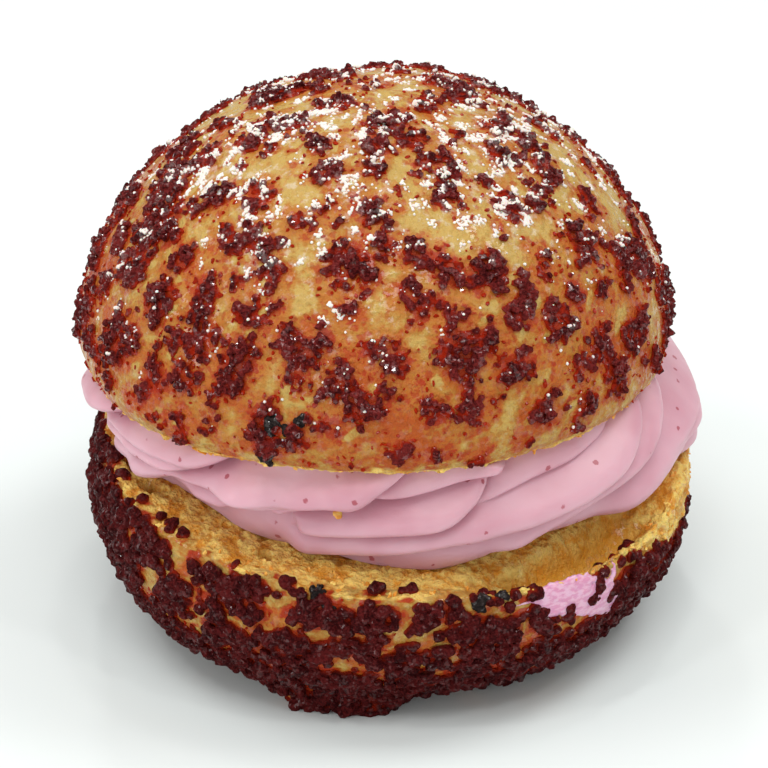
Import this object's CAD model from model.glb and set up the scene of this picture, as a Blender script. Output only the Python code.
# %% [markdown]
# # A cream puff
# A round choux bun is cut across, filled with piped berry cream and closed with its own lid. Its skin
# carries islands of dark red crumble, the remains of a thin disc of sweet dough that broke up as the bun
# rose in the oven, and a dusting of icing sugar.
#
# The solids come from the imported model. This script gives them their skins, the loose bits on them, the
# finishes, the floor, the light and the camera. Everything is in metres, in the model's own frame.

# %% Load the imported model
import math

import bmesh
import bpy
import numpy as np
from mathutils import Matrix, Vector, noise
from mathutils.bvhtree import BVHTree


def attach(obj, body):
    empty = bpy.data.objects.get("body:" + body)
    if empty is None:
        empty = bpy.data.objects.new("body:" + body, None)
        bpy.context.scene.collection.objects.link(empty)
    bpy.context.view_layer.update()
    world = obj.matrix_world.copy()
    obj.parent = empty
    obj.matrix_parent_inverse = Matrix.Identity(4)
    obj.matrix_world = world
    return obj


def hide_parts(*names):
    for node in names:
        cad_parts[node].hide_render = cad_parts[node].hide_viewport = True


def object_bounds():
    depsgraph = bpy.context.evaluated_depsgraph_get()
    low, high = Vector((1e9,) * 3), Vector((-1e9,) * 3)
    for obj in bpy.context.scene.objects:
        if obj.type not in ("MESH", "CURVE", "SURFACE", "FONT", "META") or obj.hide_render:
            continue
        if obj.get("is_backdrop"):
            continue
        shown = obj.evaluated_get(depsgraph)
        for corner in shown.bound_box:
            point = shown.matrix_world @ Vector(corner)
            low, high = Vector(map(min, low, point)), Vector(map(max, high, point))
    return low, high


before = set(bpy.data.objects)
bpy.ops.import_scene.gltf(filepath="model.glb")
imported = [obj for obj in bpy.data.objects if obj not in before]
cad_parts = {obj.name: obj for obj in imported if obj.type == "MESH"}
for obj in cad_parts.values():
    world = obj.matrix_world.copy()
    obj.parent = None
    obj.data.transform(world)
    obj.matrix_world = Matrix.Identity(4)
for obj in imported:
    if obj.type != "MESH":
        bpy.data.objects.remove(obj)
cad_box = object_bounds()
MM = 0.001
PUFF_LOW, PUFF_HIGH = (Vector(corner) for corner in cad_box)
PUFF_SIZE = PUFF_HIGH - PUFF_LOW
print("puff, mm:", [round(side / MM, 1) for side in PUFF_SIZE])

# %% [markdown]
# ## Camera
# The puff is seen from its front, half a metre away, looking down by 28 degrees. A long lens from there
# keeps the round outlines nearly free of perspective, as in a product picture.

# %% Camera
VIEW_DOWN = math.radians(28)
VIEW_DISTANCE = 500 * MM
VIEW_LENS = 177.4  # mm, on a sensor 36 mm wide
AIM = Vector((-0.6 * MM, 0, 31 * MM))


def add_camera():
    """Places the camera and makes it the scene's own."""
    camera = bpy.data.objects.new("camera", bpy.data.cameras.new("camera"))
    bpy.context.scene.collection.objects.link(camera)
    camera.data.lens = VIEW_LENS
    camera.data.sensor_width = 36
    camera.data.clip_start = 0.01
    back = Vector((0, -math.cos(VIEW_DOWN), math.sin(VIEW_DOWN)))
    camera.location = AIM + VIEW_DISTANCE * back
    camera.rotation_euler = (math.pi / 2 - VIEW_DOWN, 0, 0)
    bpy.context.scene.camera = camera


add_camera()
print("camera aims at", [round(place / MM, 1) for place in AIM])

# %% [markdown]
# ## Floor and light
# The light is that of a small white studio: a bright room all round, and three large soft lamps overhead,
# the strongest on the right, so that the shadow gathers under the belly. A low fill lamp opens up the left
# side. A few very small lamps are there only for the glints on the buttery crumble and skin. The plain
# view transform shows the finishes in their own colours.

# %% Floor and light
FLOOR_SIDE = 6
ROOM_LIGHT = 0.6
SOFT_LAMPS = {
    "left_lamp": {"place": (-0.5, 0.1, 0.9), "size": 0.35, "power": 1.4},
    "right_lamp": {"place": (0.5, 0.08, 0.9), "size": 0.35, "power": 2.7},
    "front_lamp": {"place": (0.0, -0.45, 0.9), "size": 0.4, "power": 2.2},
    "low_lamp": {"place": (-0.3, -0.95, 0.32), "size": 0.4, "power": 1.2},
    "fill_lamp": {"place": (-1.2, -0.3, 0.5), "size": 0.5, "power": 3.4},
}
GLINT_LAMPS = [(-0.35, -0.3, 0.75), (0.35, -0.35, 0.7), (0.05, 0.1, 0.95), (-0.1, 0.5, 0.7)]
GLINT_SIZE = 0.06
GLINT_POWER = 0.45


def add_lamp(name, place, size, power):
    """A square lamp that points at the middle of the puff."""
    light = bpy.data.lights.new(name, "AREA")
    light.size = size
    light.energy = power
    lamp = bpy.data.objects.new(name, light)
    bpy.context.scene.collection.objects.link(lamp)
    lamp.location = place
    lamp.rotation_euler = (Vector(place) - AIM).to_track_quat("Z", "Y").to_euler()


def add_room(strength):
    """An even white light from every side."""
    world = bpy.data.worlds.new("room")
    world.use_nodes = True
    background = world.node_tree.nodes["Background"]
    background.inputs["Color"].default_value = (1, 1, 1, 1)
    background.inputs["Strength"].default_value = strength
    bpy.context.scene.world = world


def add_floor(side):
    """A flat sheet just under the puff."""
    mesh = bpy.data.meshes.new("floor")
    half = side / 2
    mesh.from_pydata([(-half, -half, 0), (half, -half, 0), (half, half, 0), (-half, half, 0)], [], [(0, 1, 2, 3)])
    floor = bpy.data.objects.new("floor", mesh)
    bpy.context.scene.collection.objects.link(floor)
    floor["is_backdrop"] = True
    return floor


for name, sizes in SOFT_LAMPS.items():
    add_lamp(name, **sizes)
for number, place in enumerate(GLINT_LAMPS):
    add_lamp(f"glint_lamp_{number}", place, GLINT_SIZE, GLINT_POWER)
add_room(ROOM_LIGHT)
floor = add_floor(FLOOR_SIDE)
bpy.context.scene.view_settings.view_transform = "Standard"

# %% [markdown]
# ## Arithmetic that makes nodes
# Both materials and Geometry Nodes are graphs of small nodes. Written out one by one, a formula takes a
# page. The class `Value` wraps a socket, and arithmetic on it adds the Math nodes, so that a formula in
# the script reads as a formula. Numbers go through Math nodes, colours and vectors through Vector Math.
# Every other node comes from one method, `Graph.node`, which takes its type, its settings and its inputs.


# %% Graph and Value
class Value:
    """A socket of a node graph. Arithmetic on it adds nodes to the same graph."""

    def __init__(self, graph, socket):
        self.graph = graph
        self.socket = socket

    def is_vector(self):
        return self.socket.type in {"VECTOR", "RGBA"}

    def __add__(self, other):
        return self.graph.arithmetic("ADD", self, other)

    def __radd__(self, other):
        return self.graph.arithmetic("ADD", other, self)

    def __sub__(self, other):
        return self.graph.arithmetic("SUBTRACT", self, other)

    def __rsub__(self, other):
        return self.graph.arithmetic("SUBTRACT", other, self)

    def __mul__(self, other):
        return self.graph.arithmetic("MULTIPLY", self, other)

    def __rmul__(self, other):
        return self.graph.arithmetic("MULTIPLY", self, other)

    def __truediv__(self, other):
        return self.graph.arithmetic("DIVIDE", self, other)

    def __rtruediv__(self, other):
        return self.graph.arithmetic("DIVIDE", other, self)

    def __pow__(self, other):
        return self.graph.arithmetic("POWER", self, other)


class Graph:
    """A node tree of a material or of Geometry Nodes."""

    def __init__(self, tree):
        self.tree = tree

    def feed(self, socket, value):
        """Links a value to a socket, or sets the socket's own number, colour or item."""
        if isinstance(value, Value):
            self.tree.links.new(value.socket, socket)
        else:
            socket.default_value = value

    def node(self, kind, settings=None, inputs=None, output=0):
        """Adds a node. Its settings come first, then the values or links of its inputs."""
        made = self.tree.nodes.new(kind)
        for name, setting in (settings or {}).items():
            if name == "stops":
                self.set_stops(made.color_ramp, setting)
            else:
                setattr(made, name, setting)
        for key, value in (inputs or {}).items():
            self.feed(made.inputs[key], value)
        return Value(self, made.outputs[output])

    def set_stops(self, ramp, stops):
        """Gives a colour ramp its stops, from (place, colour) pairs."""
        while len(ramp.elements) < len(stops):
            ramp.elements.new(1)
        for element, (place, color) in zip(ramp.elements, stops):
            element.position = place
            element.color = color

    def other(self, value, output):
        """Another output of the node that a value came from."""
        return Value(self, value.socket.node.outputs[output])

    def arithmetic(self, operation, first, second):
        pair = (first, second)
        vectors = [item for item in pair if isinstance(item, Value) and item.is_vector()]
        if not vectors:
            return self.node("ShaderNodeMath", {"operation": operation}, {0: first, 1: second})
        single = first if vectors[0] is second else second
        if operation == "MULTIPLY" and len(vectors) == 1 and not isinstance(single, tuple):
            return self.node("ShaderNodeVectorMath", {"operation": "SCALE"}, {0: vectors[0], "Scale": single})
        return self.node("ShaderNodeVectorMath", {"operation": operation}, {0: first, 1: second})

    def math(self, operation, *values):
        """A Math node that has no sign of its own, such as SINE or MAXIMUM."""
        return self.node("ShaderNodeMath", {"operation": operation}, dict(enumerate(values)))

    def ease(self, value, low, high):
        """0 at low, 1 at high, and smooth between them."""
        settings = {"interpolation_type": "SMOOTHSTEP"}
        return self.node("ShaderNodeMapRange", settings, {"Value": value, "From Min": low, "From Max": high})

    def blend(self, first, second, share, mode="MIX"):
        """Mixes two colours."""
        settings = {"data_type": "RGBA", "blend_type": mode}
        return self.node("ShaderNodeMix", settings, {0: share, 6: first, 7: second}, output=2)

    def cloud(self, place, size, detail=2.0, roughness=0.5, output=0):
        """Noise from 0 to 1, with bumps about size across."""
        inputs = {"Vector": place, "Scale": 1 / size, "Detail": detail, "Roughness": roughness}
        return self.node("ShaderNodeTexNoise", None, inputs, output)

    def cells(self, place, size, feature="F1", output=0):
        """Voronoi cells about size across: the distance to a cell's seed, or its random colour."""
        return self.node("ShaderNodeTexVoronoi", {"feature": feature}, {"Vector": place, "Scale": 1 / size}, output)


# %% [markdown]
# Two more helpers run a Geometry Nodes tree. `geometry_tree` makes a tree whose inputs have names, and
# `grown` runs it on a host object and keeps the result as a plain mesh, with nothing live left on it.


# %% Helpers for Geometry Nodes
SOCKET_OF = {float: "NodeSocketFloat", int: "NodeSocketInt", bpy.types.Material: "NodeSocketMaterial"}


def geometry_tree(name, sizes, make):
    """A tree with a geometry input and named sizes. make(graph, inputs) returns the final geometry."""
    tree = bpy.data.node_groups.new(name, "GeometryNodeTree")
    tree.interface.new_socket("Geometry", in_out="INPUT", socket_type="NodeSocketGeometry")
    for label, value in sizes.items():
        socket = tree.interface.new_socket(label, in_out="INPUT", socket_type=SOCKET_OF[type(value)])
        socket.default_value = value
    tree.interface.new_socket("Finish", in_out="INPUT", socket_type="NodeSocketMaterial")
    tree.interface.new_socket("Geometry", in_out="OUTPUT", socket_type="NodeSocketGeometry")
    graph = Graph(tree)
    entry = tree.nodes.new("NodeGroupInput")
    inputs = {socket.name: Value(graph, socket) for socket in entry.outputs if socket.name}
    shape = graph.node("GeometryNodeRealizeInstances", None, {"Geometry": make(graph, inputs)})
    shape = graph.node("GeometryNodeSetMaterial", None, {"Geometry": shape, "Material": inputs["Finish"]})
    graph.feed(tree.nodes.new("NodeGroupOutput").inputs["Geometry"], shape)
    return tree


def grown(name, host, tree, finish, sizes=None, keep=1.0):
    """Runs a tree on a host object, and returns what grew as a new object with a plain mesh.

    With keep below 1, triangles are merged until that share of them is left.
    """
    modifier = host.modifiers.new(tree.name, "NODES")
    modifier.node_group = tree
    for item in tree.interface.items_tree:
        if item.in_out == "INPUT" and item.name in (sizes or {}):
            modifier[item.identifier] = sizes[item.name]
        if item.in_out == "INPUT" and item.name == "Finish":
            modifier[item.identifier] = finish
    if keep < 1:
        host.modifiers.new("thin_out", "DECIMATE").ratio = keep
    bpy.context.view_layer.update()
    evaluated = host.evaluated_get(bpy.context.evaluated_depsgraph_get())
    mesh = bpy.data.meshes.new_from_object(evaluated)
    host.modifiers.clear()
    mesh.name = name
    piece = bpy.data.objects.new(name, mesh)
    bpy.context.scene.collection.objects.link(piece)
    return piece


def report(piece):
    """Prints a piece's size and how many triangles it has."""
    mesh = piece.data
    triangles = sum(len(face.vertices) - 2 for face in mesh.polygons)
    places = np.empty(3 * len(mesh.vertices), np.float32)
    mesh.vertices.foreach_get("co", places)
    places = places.reshape(-1, 3) / MM
    span = (places.max(0) - places.min(0)).round(1)
    print(f"{piece.name}: {triangles} triangles, {span} mm, lowest {places[:, 2].min():.2f} mm")


# %% [markdown]
# ## Small rules shared by the pieces
# Many sizes differ from side to side of the puff. `by_side` gives a size its own value at the right, the
# back, the left and the front, and eases between them. Angles turn about the vertical axis of the bun,
# from the right towards the back, as in the solids.


# %% Rules about angles
def smooth(share):
    """Eases a share from 0 to 1 with no corner at either end."""
    share = np.clip(share, 0, 1)
    return share * share * (3 - 2 * share)


def near(angle, centre, half_width):
    """1 round the centre angle, easing to 0 at half_width to either side. Angles are in degrees."""
    away = np.abs((angle - centre + 180) % 360 - 180)
    return smooth(2 - 2 * away / half_width)


def by_side(angle, right, back, left, front):
    """A size that has its own value at each side and eases between them. The angle is in degrees."""
    sides = np.array([right, back, left, front, right])
    quarter = np.asarray(angle, float) / 90 % 4
    side = quarter.astype(int)
    share = smooth(quarter - side)
    return sides[side] * (1 - share) + sides[side + 1] * share


def polar(angle, radius, height):
    """A point from an angle in degrees, a radius and a height, about the bun's axis."""
    turn = math.radians(angle)
    return Vector((radius * math.cos(turn), radius * math.sin(turn), height)) + AXIS


def crust_edge_height(angle):
    """Height at which the bottom bun's baked skin ends, and bare crumb begins."""
    height = by_side(angle, right=21 * MM, back=21 * MM, left=25.6 * MM, front=21.4 * MM)
    return height - 5.6 * MM * near(angle, 10, 50) - 1.6 * MM * near(angle, -48, 30)


cream_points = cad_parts["cream_filling"].data.vertices
deepest = min(cream_points, key=lambda vertex: vertex.co.z).co
AXIS = Vector((deepest.x, deepest.y, 0))
LID_EDGE_HEIGHT = 36 * MM
LID_LEAN = math.radians(2.7)
print("bun's axis, mm:", [round(place / MM, 2) for place in AXIS])

# %% [markdown]
# ## Colours
# Colours are named once, as a baker would see them in daylight, from 0 to 255 for each of red, green and
# blue. Shaders want linear light, so `daylight` converts them.


# %% Colours
def daylight(red, green, blue):
    """A colour as the shaders want it."""
    def linear(level):
        level /= 255
        return level / 12.92 if level <= 0.04045 else ((level + 0.055) / 1.055) ** 2.4
    return (linear(red), linear(green), linear(blue), 1)


PALE_GOLD = daylight(186, 152, 80)
GOLD = daylight(174, 118, 46)
BROWN_GOLD = daylight(170, 78, 24)
ORANGE_STAIN = daylight(182, 84, 16)
RED_STAIN = daylight(160, 36, 6)
DARK_CRUMBLE = daylight(52, 8, 10)
LIGHT_CRUMBLE = daylight(114, 36, 34)
LOW_CRUMBLE = daylight(88, 24, 24)
THIN_CRUMBLE = daylight(160, 36, 10)
CRUMB_YELLOW = daylight(248, 212, 116)
CRUMB_AMBER = daylight(222, 148, 46)
POCKET_AMBER = daylight(255, 184, 60)
BERRY_CREAM = daylight(212, 163, 176)
BERRY_SHADE = daylight(202, 146, 160)
BERRY_FLECK = daylight(160, 44, 62)
SUGAR_WHITE = daylight(238, 234, 228)
BURNT_BLACK = daylight(24, 20, 20)
FLOOR_PALE = daylight(227, 233, 231)


def finish(name, make):
    """A material. make(graph, place) returns the inputs of its Principled BSDF."""
    material = bpy.data.materials.new(name)
    material.use_nodes = True
    graph = Graph(material.node_tree)
    surface = material.node_tree.nodes["Principled BSDF"]
    place = graph.node("ShaderNodeTexCoord", output="Object")
    for key, value in make(graph, place).items():
        graph.feed(surface.inputs[key], value)
    return material


def floor_finish(graph, place):
    return {"Base Color": FLOOR_PALE, "Roughness": 0.75, "Specular IOR Level": 0.2}


floor.data.materials.append(finish("floor_paper", floor_finish))

# %% [markdown]
# Sugar lies in patches that come from one noise. The solid grains further down use it, and so do the
# finishes below, which turn pale where the finest dust lies round the grains.


# %% Where sugar lies
def sugar_patch(graph, place):
    """Above about 0.7 where sugar lies: in patches, more of it higher up, none under the lid."""
    height = graph.node("ShaderNodeSeparateXYZ", None, {"Vector": place}, output="Z")
    patch = graph.cloud(place, 1.5 * MM, detail=3, roughness=0.6) + (graph.cloud(place, 12 * MM) - 0.5) * 0.35
    return patch + graph.ease(height, 34 * MM, 72 * MM) * 0.15 - graph.ease(height, 36 * MM, 28 * MM)


def dusted(graph, place, color, most):
    """A colour with fine sugar over it."""
    veil = graph.ease(sugar_patch(graph, place) + (graph.cloud(place, 0.3 * MM) - 0.5) * 0.16, 0.66, 0.8)
    height = graph.node("ShaderNodeSeparateXYZ", None, {"Vector": place}, output="Z")
    return graph.blend(color, SUGAR_WHITE, veil * graph.ease(height, 38 * MM, 60 * MM) * most)


# %% [markdown]
# ## Finishes of the puff
# **Baked skin.** Choux skin goes from pale gold, where it was stretched last, to brown gold. The crumble
# stains it red where its butter ran, so the stain follows an attribute, `crumble`, that the skin's own
# tree stores: it is above 0 where an island lies. A second attribute, `crumb`, is 1 on the bare crumb.


# %% Baked skin
def baked_skin(pale_from, pale_to):
    """The finish of a choux skin that grows paler between two heights."""

    def make(graph, place):
        height = graph.node("ShaderNodeSeparateXYZ", None, {"Vector": place}, output="Z")
        island = graph.node("ShaderNodeAttribute", {"attribute_name": "crumble"}, output="Fac")
        crumb = graph.node("ShaderNodeAttribute", {"attribute_name": "crumb"}, output="Fac")
        pit = graph.node("ShaderNodeAttribute", {"attribute_name": "pit"}, output="Fac")
        pocket = graph.node("ShaderNodeAttribute", {"attribute_name": "pocket"}, output="Fac")
        broad = graph.cloud(place, 10 * MM, detail=3)
        patch = graph.cloud(place, 2.6 * MM, detail=4, roughness=0.62)
        fine = graph.cloud(place, 0.7 * MM, detail=3, roughness=0.6)
        pale = graph.ease(height, pale_from, pale_to) * 0.35 + (broad - 0.5) * 1.2 + (patch - 0.5) * 1.8
        pale = pale + (fine - 0.5) * 1.1 + 0.1 + graph.ease(island, -0.12, -0.4) * 0.45
        skin = graph.blend(BROWN_GOLD, GOLD, graph.ease(pale, -0.1, 0.35))
        skin = graph.blend(skin, PALE_GOLD, graph.ease(pale, 0.3, 0.8))
        skin = dusted(graph, place, skin, 0.25)
        soaked = island + (patch - 0.5) * 0.55 + (fine - 0.5) * 0.75
        skin = graph.blend(skin, ORANGE_STAIN, graph.ease(soaked, -0.22, -0.05) * 0.42)
        skin = graph.blend(skin, RED_STAIN, graph.ease(soaked, -0.05, 0.1) * 0.88)
        specks = graph.ease(graph.cells(place, 1.5 * MM) + (fine - 0.5) * 1.1, 0.36, 0.24)
        near_island = graph.ease(island + (patch - 0.5) * 0.5, -0.45, -0.1)
        skin = graph.blend(skin, RED_STAIN, specks * near_island * 0.6)
        grit = graph.cloud(place, 0.5 * MM, detail=3, roughness=0.7)
        light = (patch - 0.5) * 3.4 + pit * 0.5 + (fine - 0.5) * 1.4 + (grit - 0.5) * 0.6 + 0.25
        bread = graph.blend(CRUMB_AMBER, CRUMB_YELLOW, graph.ease(light, 0.0, 0.9))
        toasted = graph.ease(graph.cloud(place, 4 * MM, detail=3) + (fine - 0.5) * 0.3, 0.56, 0.66)
        bread = graph.blend(bread, BROWN_GOLD, toasted * 0.4)
        bread = graph.blend(bread, POCKET_AMBER, pocket * 0.8)
        skin = graph.blend(skin, bread, crumb)
        wrinkles = graph.cells(place, 0.8 * MM)
        relief = patch * 0.8 + fine * 0.6 + wrinkles * 0.35 + grit * crumb * 0.8
        bump = graph.node("ShaderNodeBump", None, {"Strength": 1.0, "Distance": 0.6 * MM, "Height": relief})
        greasy = graph.ease(graph.cloud(place, 0.9 * MM, detail=2), 0.55, 0.61)
        return {
            "Base Color": skin,
            "Roughness": 0.42,
            "Normal": bump,
            "Specular IOR Level": 0.2,
            "Coat Weight": greasy * 0.7,
            "Coat Roughness": 0.06,
            "Subsurface Weight": 0.12,
            "Subsurface Radius": (2.2 * MM, 1.1 * MM, 0.5 * MM),
            "Subsurface Scale": 1.0,
        }

    return make


lid_finish = finish("lid_skin", baked_skin(44 * MM, 70 * MM))
bun_finish = finish("bun_skin", baked_skin(10 * MM, 60 * MM))

# %% [markdown]
# **Crumble.** Dark red, granular and a little greasy. Its colour wanders between nearly black and brick
# red, and fine bump gives each grain the facets that catch the glint lamp.


# %% Crumble, burnt bits and sugar
def crumble_finish(dark, light, thin, gloss=1.0):
    """The finish of granular baked bits: dark to light by its grain, and another colour where it is thin."""

    def make(graph, place):
        thick = graph.node("ShaderNodeAttribute", {"attribute_name": "thick"}, output="Fac")
        broad = graph.cloud(place, 2.5 * MM, detail=2)
        grain = graph.cloud(place, 0.35 * MM, detail=3, roughness=0.65)
        facets = graph.cells(place, 0.45 * MM)
        color = graph.blend(dark, light, graph.ease(broad * 0.4 + grain * 0.6, 0.38, 0.62))
        rusty = graph.ease(thick + (broad - 0.5) * 0.8 + (grain - 0.5) * 0.4, 0.5, 0.12)
        color = graph.blend(color, thin, rusty * 0.85)
        color = dusted(graph, place, color, 0.12)
        inputs = {"Strength": 1.0, "Distance": 0.35 * MM, "Height": grain * 0.6 + facets * 0.6}
        bump = graph.node("ShaderNodeBump", None, inputs)
        greasy = graph.ease(graph.cloud(place, 0.7 * MM, detail=2), 0.54, 0.58)
        return {
            "Base Color": color,
            "Roughness": 0.6,
            "Normal": bump,
            "Specular IOR Level": 0.04,
            "Coat Weight": greasy * gloss,
            "Coat Roughness": 0.06,
        }

    return make


def sugar_finish(graph, place):
    tint = graph.ease(graph.cloud(place, 1.5 * MM), 0.3, 0.7)
    color = graph.blend(SUGAR_WHITE, daylight(226, 216, 206), tint)
    return {"Base Color": color, "Roughness": 0.6, "Subsurface Weight": 0.3, "Subsurface Scale": 0.4 * MM}


crumble_red = finish("crumble_red", crumble_finish(DARK_CRUMBLE, LIGHT_CRUMBLE, THIN_CRUMBLE))
crumble_low = finish("crumble_low", crumble_finish(daylight(44, 6, 8), LOW_CRUMBLE, daylight(130, 30, 10), gloss=0.45))
crumble_rust = finish("crumble_rust", crumble_finish(daylight(130, 26, 10), daylight(176, 52, 16), THIN_CRUMBLE))
crumble_burnt = finish("crumble_burnt", crumble_finish(BURNT_BLACK, daylight(50, 42, 40), BURNT_BLACK))
sugar_white = finish("sugar_white", sugar_finish)

# %% [markdown]
# **Cream.** Smooth, pale pink and faintly see-through, with tiny specks of berry. Each speck is a cell of
# a Voronoi pattern whose seed lies close to the surface, and only some cells carry one.


# %% Cream
def cream_finish(graph, place):
    fine = graph.cloud(place, 0.6 * MM, detail=3)
    bent = place + (graph.cloud(place, 0.5 * MM, output="Color") - (0.5, 0.5, 0.5)) * (0.5 * MM)
    speck = graph.cells(bent, 2.0 * MM)
    carries = graph.node("ShaderNodeSeparateColor", None, {"Color": graph.other(speck, "Color")}, output="Red")
    size = graph.ease(carries, 0.45, 1.0) * 0.22
    speck = graph.ease(speck - size, 0.02, -0.05) * graph.ease(carries, 0.45, 0.5)
    broad = graph.cloud(place, 9 * MM, detail=2)
    color = graph.blend(BERRY_CREAM, BERRY_SHADE, graph.ease(broad, 0.35, 0.7))
    color = graph.blend(color, BERRY_FLECK, speck * 0.8)
    bump = graph.node("ShaderNodeBump", None, {"Strength": 0.15, "Distance": 0.2 * MM, "Height": fine})
    return {
        "Base Color": color,
        "Roughness": 0.36 + fine * 0.12,
        "Normal": bump,
        "Specular IOR Level": 0.6,
        "Subsurface Weight": 0.35,
        "Subsurface Radius": (1.8 * MM, 0.9 * MM, 0.9 * MM),
        "Subsurface Scale": 1.0,
    }


def smear_finish(graph, place):
    streaks = graph.cloud(place * (1, 1, 2.5), 1.2 * MM, detail=3, roughness=0.6)
    color = graph.blend(daylight(212, 142, 176), daylight(224, 178, 200), graph.ease(streaks, 0.4, 0.62))
    return {"Base Color": color, "Roughness": 0.35, "Subsurface Weight": 0.3, "Subsurface Scale": 1.0 * MM}


berry_cream = finish("piped_cream", cream_finish)
berry_smear = finish("cream_smear", smear_finish)
print("finishes:", sorted(material.name for material in bpy.data.materials))

# %% [markdown]
# ## The baked skins
# The solids have facets 4 mm wide. For the skins, a copy of each is merged, subdivided until its facets
# are a little over half a millimetre, and given the relief of choux pastry by a Geometry Nodes tree.
# The tree also decides where the crumble lies, and stores that as the attribute `crumble`.


# %% Smooth copies of the solids
def smooth_copy(node, levels):
    """A welded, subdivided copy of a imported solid."""
    shape = bmesh.new()
    shape.from_mesh(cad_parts[node].data)
    bmesh.ops.remove_doubles(shape, verts=shape.verts, dist=0.01 * MM)
    limit = math.radians(60)
    bmesh.ops.join_triangles(shape, faces=shape.faces, angle_face_threshold=limit, angle_shape_threshold=limit)
    mesh = bpy.data.meshes.new(node + "_copy")
    shape.to_mesh(mesh)
    shape.free()
    piece = bpy.data.objects.new(node + "_copy", mesh)
    bpy.context.scene.collection.objects.link(piece)
    refine = piece.modifiers.new("refine", "SUBSURF")
    refine.levels = levels
    refine.render_levels = levels
    bpy.context.view_layer.update()
    fine = bpy.data.meshes.new_from_object(piece.evaluated_get(bpy.context.evaluated_depsgraph_get()))
    piece.modifiers.remove(refine)
    piece.data = fine
    return piece


def refine_where(piece, wanted, cuts):
    """Cuts the faces whose middle is wanted into smaller ones."""
    shape = bmesh.new()
    shape.from_mesh(piece.data)
    faces = [face for face in shape.faces if wanted(face.calc_center_median(), face.normal)]
    edges = list({edge for face in faces for edge in face.edges})
    bmesh.ops.subdivide_edges(shape, edges=edges, cuts=cuts, use_grid_fill=True)
    bmesh.ops.triangulate(shape, faces=[face for face in shape.faces if len(face.verts) > 4])
    shape.to_mesh(piece.data)
    shape.free()


def vertex_places(piece):
    """The vertices of a piece as an array, with their normals."""
    count = len(piece.data.vertices)
    places = np.empty(3 * count, np.float32)
    normals = np.empty(3 * count, np.float32)
    piece.data.vertices.foreach_get("co", places)
    piece.data.vertices.foreach_get("normal", normals)
    return places.reshape(-1, 3), normals.reshape(-1, 3)


def store(piece, name, values):
    """Stores a number on every vertex, for trees and finishes to read."""
    attribute = piece.data.attributes.new(name, "FLOAT", "POINT")
    attribute.data.foreach_set("value", np.asarray(values, np.float32))


def bun_rim(middle, normal):
    """The bottom bun's torn rim, down to just below the edge of the skin."""
    out = middle - AXIS
    angle = math.degrees(math.atan2(out.y, out.x))
    wide = math.hypot(out.x, out.y) > 29 * MM
    return wide and middle.z > crust_edge_height(angle) - 2.5 * MM and middle.z > 14 * MM


def lid_rim(middle, normal):
    """A band along the lid's cut edge."""
    wide = (middle - AXIS).xy.length > 34 * MM
    return wide and middle.z < LID_EDGE_HEIGHT - middle.y * math.tan(LID_LEAN) + 3 * MM


lid_copy = smooth_copy("top_bun", 2)
bun_copy = smooth_copy("bottom_bun", 2)
refine_where(bun_copy, bun_rim, 2)
refine_where(lid_copy, lid_rim, 1)
report(lid_copy)
report(bun_copy)

# %% [markdown]
# Each vertex is told two things. `cover` says how much of the skin there the crumble takes: about half on
# the lid, hardly any in the golden band along its cut edge, and nearly all low on the bottom bun, where
# the disc of crumble didn't break. `crumb` marks the torn and cut faces.


# %% Cover and crumb
def ragged(places, size, depth):
    """Uneven numbers from -depth to depth, with bumps about size across."""
    return depth * np.array([noise.fractal(Vector(place) / size, 0.7, 2, 3) for place in places])


def lid_above_edge(places):
    return places[:, 2] - LID_EDGE_HEIGHT + places[:, 1] * math.tan(LID_LEAN)


def lid_cover(places, normals):
    """Share of the lid's skin under crumble, from 0 to 1."""
    outside = smooth((normals[:, 2] + 0.75) / 0.2)
    height = lid_above_edge(places)
    share = 0.13 + 0.28 * smooth((height - 1.2 * MM) / (4 * MM)) - 0.01 * smooth((height - 12 * MM) / (20 * MM))
    left = smooth((AXIS.x - places[:, 0]) / (34 * MM))
    return (share + 0.03 * left) * outside


def lid_crumb(places, normals):
    """1 on the lid's cut face and on the ragged lower edge of its skin."""
    height = lid_above_edge(places) + ragged(places, 2.0 * MM, 1.2 * MM)
    return np.maximum(smooth((-0.6 - normals[:, 2]) / 0.2), smooth((0.9 * MM - height) / (0.6 * MM)))


SMEAR_ANGLE = -55
SMEAR_HEIGHT = 17.4


def bun_angles(places):
    return np.degrees(np.arctan2(places[:, 1] - AXIS.y, places[:, 0] - AXIS.x))


def bun_crumb(places, normals):
    """1 on the bottom bun's torn rim, its cut face and its hollow."""
    radius = np.hypot(places[:, 0] - AXIS.x, places[:, 1] - AXIS.y)
    height = places[:, 2] + ragged(places, 3 * MM, 1.1 * MM) - crust_edge_height(bun_angles(places))
    above_skin = smooth(height / (0.5 * MM) + 0.3)
    inside = smooth((37 * MM - radius) / (1 * MM)) * smooth((normals[:, 2] - 0.2) / 0.2)
    return np.maximum(above_skin, inside)


def bun_cover(places, normals):
    """Share of the bottom bun's skin under crumble: islands near the rim, a closed sheet low down."""
    below_rim = crust_edge_height(bun_angles(places)) - places[:, 2]
    share = 0.72 + 0.18 * smooth(below_rim / (4 * MM)) + 0.2 * smooth((12 * MM - places[:, 2]) / (6 * MM))
    angles = bun_angles(places)
    under_smear = near(angles, SMEAR_ANGLE + 2, 12) * smooth((places[:, 2] - 11 * MM) / (2 * MM))
    left = smooth((AXIS.x - places[:, 0]) / (30 * MM))
    share = share + 0.12 * left - 0.35 * under_smear
    flat_foot = smooth((-0.9 - normals[:, 2]) / 0.08)
    return share * (1 - flat_foot) * (1 - bun_crumb(places, normals))


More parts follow.
